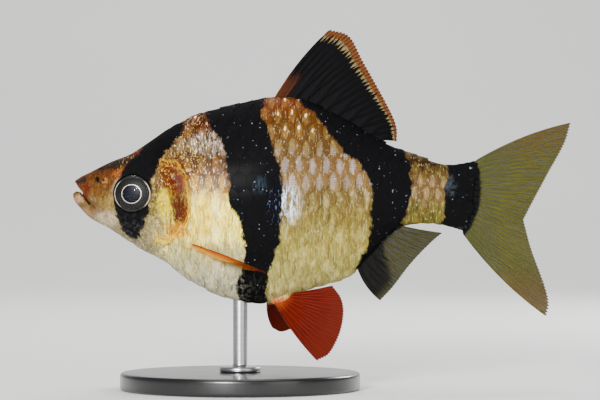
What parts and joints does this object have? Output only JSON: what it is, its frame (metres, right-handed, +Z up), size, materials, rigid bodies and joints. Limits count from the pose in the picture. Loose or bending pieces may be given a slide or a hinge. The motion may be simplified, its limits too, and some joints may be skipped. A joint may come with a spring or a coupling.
{
  "type": "tiger barb model on a display stand",
  "caption": "Life-size tiger barb in a swimming pose, with rayed fins, gill covers and a slightly open mouth, held by a rod on a round base.",
  "frame": {"origin": "centre of the bounding box in X and Y, at the underside of the stand's base", "axes": "-X towards the head, +X towards the tail, -Y the fish's left flank, +Z up"},
  "size_m": [0.0624, 0.03, 0.0451],
  "materials": {
    "skin": "glossy wet skin with silver and gold scales and black bands",
    "dorsal": "black membrane with an orange-brown edge",
    "clear_fin": "translucent olive membrane with pale rays",
    "red_fin": "red membrane with darker rays",
    "pectoral": "orange translucent membrane",
    "eye": "dark iris with a thin bright ring round a black pupil under a clear cornea",
    "base": "satin black disc",
    "rod": "brushed steel"
  },
  "bodies": {
    "root": {"head": "skin", "torso": "skin", "tail_stem": "skin", "gill_cover_left": "skin", "gill_cover_right": "skin", "eye_left": "eye", "eye_right": "eye", "dorsal_fin": "dorsal", "anal_fin": "clear_fin", "caudal_fin_upper": "clear_fin", "caudal_fin_lower": "clear_fin", "pelvic_fin_left": "red_fin", "pelvic_fin_right": "red_fin", "pectoral_fin_left": "pectoral", "pectoral_fin_right": "pectoral", "stand_base": "base", "stand_rod": "rod"}
  },
  "joints": []
}
